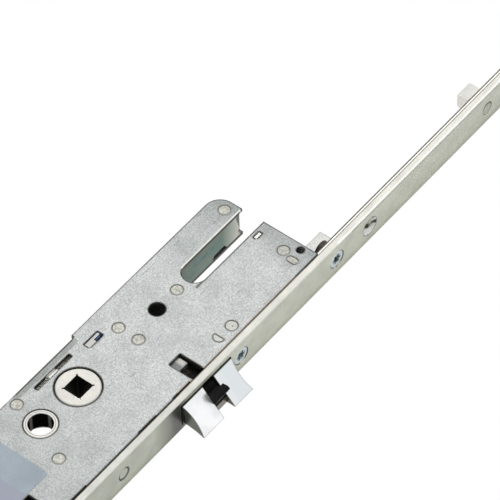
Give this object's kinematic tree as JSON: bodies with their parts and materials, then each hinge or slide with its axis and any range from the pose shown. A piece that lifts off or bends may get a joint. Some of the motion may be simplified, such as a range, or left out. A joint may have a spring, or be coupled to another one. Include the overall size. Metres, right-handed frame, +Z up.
{
  "type": "multipoint door lock",
  "caption": "Tall key-driven door lock with a follower, sprung latch, deadbolt and two swing hooks worked by rails behind a long faceplate.",
  "frame": {"origin": "middle of the faceplate's front face at the height of the follower", "axes": "+X out of the faceplate's front, +Z up along the faceplate, Y across the thickness with the pictured case cover on the -Y side"},
  "size_m": [0.0629, 0.016, 1.77],
  "materials": {
    "faceplate_steel": "satin, bright zinc plated",
    "case_zinc": "speckled dull zinc coating",
    "rivet_steel": "dull, cream zinc plated",
    "lug_zinc": "dull cast zinc",
    "passivated_steel": "blue-green passivated zinc",
    "bearing_plastic": "matt, dark",
    "cast_zinc": "dull cast zinc",
    "spring_steel": "oiled wire",
    "latch_nickel": "satin nickel plated",
    "black_plastic": "semi-matt black",
    "plain_steel": "zinc plated sheet",
    "pin_steel": "bright turned steel",
    "rail_steel": "bright zinc plated strip",
    "guide_nylon": "natural nylon",
    "sleeve_steel": "dark oiled steel",
    "screw_steel": "bluish bright zinc plated"
  },
  "bodies": {
    "case": {"faceplate": "faceplate_steel", "case_tray": "case_zinc", "case_cover": "case_zinc", "case_rivets": "rivet_steel", "screw_lugs": "lug_zinc", "slot_channel": "passivated_steel", "top_guide": "rivet_steel", "handle_bush": "rivet_steel", "follower_bearings": "bearing_plastic", "return_spring_upper": "spring_steel", "return_spring_lower": "spring_steel", "latch_spring": "spring_steel", "rail_guides": "guide_nylon", "rail_sleeve": "sleeve_steel", "case_screws": "screw_steel", "upper_hook_tray": "case_zinc", "upper_hook_cover": "case_zinc", "upper_hook_pivot": "rivet_steel", "lower_hook_tray": "case_zinc", "lower_hook_cover": "case_zinc", "lower_hook_pivot": "rivet_steel", "hook_box_rivets": "rivet_steel", "hook_box_screws": "screw_steel"},
    "follower": {"follower": "cast_zinc"},
    "latch": {"latch_head": "latch_nickel", "latch_insert": "black_plastic", "latch_tail": "plain_steel", "latch_rivet": "rivet_steel"},
    "drive": {"drive_plate": "plain_steel", "bolt_drive_pin": "pin_steel", "upper_rail": "rail_steel", "lower_rail": "rail_steel", "upper_hook_pin": "pin_steel", "lower_hook_pin": "pin_steel"},
    "deadbolt": {"deadbolt": "latch_nickel"},
    "upper_hook": {"upper_hook": "latch_nickel"},
    "lower_hook": {"lower_hook": "latch_nickel"}
  },
  "joints": [
    {"name": "follower_turn", "type": "hinge", "parent": "case", "child": "follower", "pos_m": [-0.035, 0, 0], "axis": [0, -1, 0], "range_deg": [0, 35], "stiffness_Nm_per_rad": 0.4, "springref_deg": -34.38, "deforming": ["return_spring_upper", "return_spring_lower"]},
    {"name": "latch_slide", "type": "slide", "parent": "case", "child": "latch", "axis": [-1, 0, 0], "range_m": [0, 0.0105], "stiffness_N_per_m": 400, "springref_m": -0.015, "deforming": ["latch_spring"]},
    {"name": "rail_slide", "type": "slide", "parent": "case", "child": "drive", "axis": [0, 0, 1], "range_m": [0, 0.02]},
    {"name": "deadbolt_slide", "type": "slide", "parent": "case", "child": "deadbolt", "axis": [1, 0, 0], "range_m": [0, 0.02]},
    {"name": "upper_hook_turn", "type": "hinge", "parent": "case", "child": "upper_hook", "pos_m": [-0.0215, 0, 0.59], "axis": [0, -1, 0], "range_deg": [0, 90]},
    {"name": "lower_hook_turn", "type": "hinge", "parent": "case", "child": "lower_hook", "pos_m": [-0.0215, 0, -0.77], "axis": [0, -1, 0], "range_deg": [0, 90]}
  ],
  "couplings": [
    {"joint": "follower_turn", "follows": "latch_slide", "rad_per_m": 58.178},
    {"joint": "deadbolt_slide", "follows": "rail_slide", "ratio": 1},
    {"joint": "upper_hook_turn", "follows": "rail_slide", "rad_per_m": 78.54},
    {"joint": "lower_hook_turn", "follows": "rail_slide", "rad_per_m": 78.54}
  ]
}
